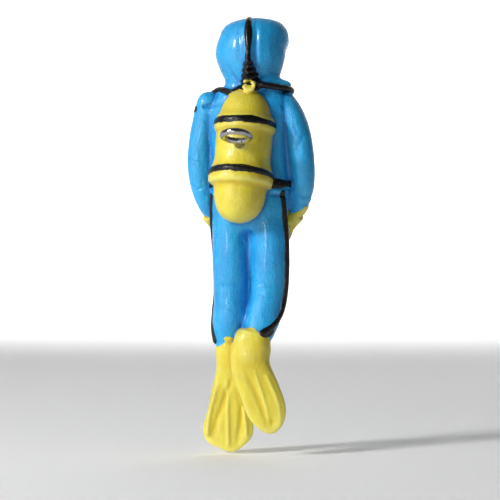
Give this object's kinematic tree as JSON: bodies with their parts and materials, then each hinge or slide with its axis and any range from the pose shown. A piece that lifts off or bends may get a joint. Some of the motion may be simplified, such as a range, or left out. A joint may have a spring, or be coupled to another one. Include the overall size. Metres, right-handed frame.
{
  "type": "hanging diver ornament",
  "caption": "Small painted resin scuba diver that hangs in an aquarium from a steel screw eye turned into its air cylinder.",
  "frame": {"origin": "centre of the screw eye's hole, where the ornament hangs", "axes": "+Z from fins to head, -Y the way the diver faces, +Y out of the diver's back, +X the diver's left"},
  "size_m": [0.0195, 0.018, 0.0649],
  "materials": {
    "blue_paint": "glossy hand-brushed enamel over cast resin",
    "yellow_paint": "glossy hand-brushed enamel over cast resin",
    "black_paint": "glossy hand-brushed enamel over cast resin",
    "skin_paint": "satin enamel over cast resin",
    "lens_paint": "glossy enamel over cast resin",
    "silver_paint": "metallic enamel over cast resin",
    "chrome": "bright plated steel wire"
  },
  "bodies": {
    "figure": {"air_tank": "yellow_paint", "belt_buckle": "silver_paint", "crown_strap": "black_paint", "face": "skin_paint", "hood": "blue_paint", "inflator_hose": "black_paint", "left_arm": "blue_paint", "left_fin": "yellow_paint", "left_glove": "yellow_paint", "left_leg": "blue_paint", "left_shoulder_strap": "black_paint", "left_side_stripe": "black_paint", "lower_tank_band": "black_paint", "mask_frame": "black_paint", "mask_lens": "lens_paint", "regulator": "black_paint", "regulator_hose": "black_paint", "right_arm": "blue_paint", "right_fin": "yellow_paint", "right_glove": "yellow_paint", "right_leg": "blue_paint", "right_shoulder_strap": "black_paint", "right_side_stripe": "black_paint", "tank_valve": "yellow_paint", "torso": "blue_paint", "upper_tank_band": "black_paint", "valve_boot": "black_paint", "waist_belt": "black_paint"},
    "eye": {"screw_eye": "chrome"}
  },
  "joints": [
    {"name": "eye_turn", "type": "hinge", "parent": "figure", "child": "eye", "pos_m": [0, 0, 0], "axis": [-0.0498, 0.9498, 0.309], "range_deg": [-90, 90]}
  ]
}
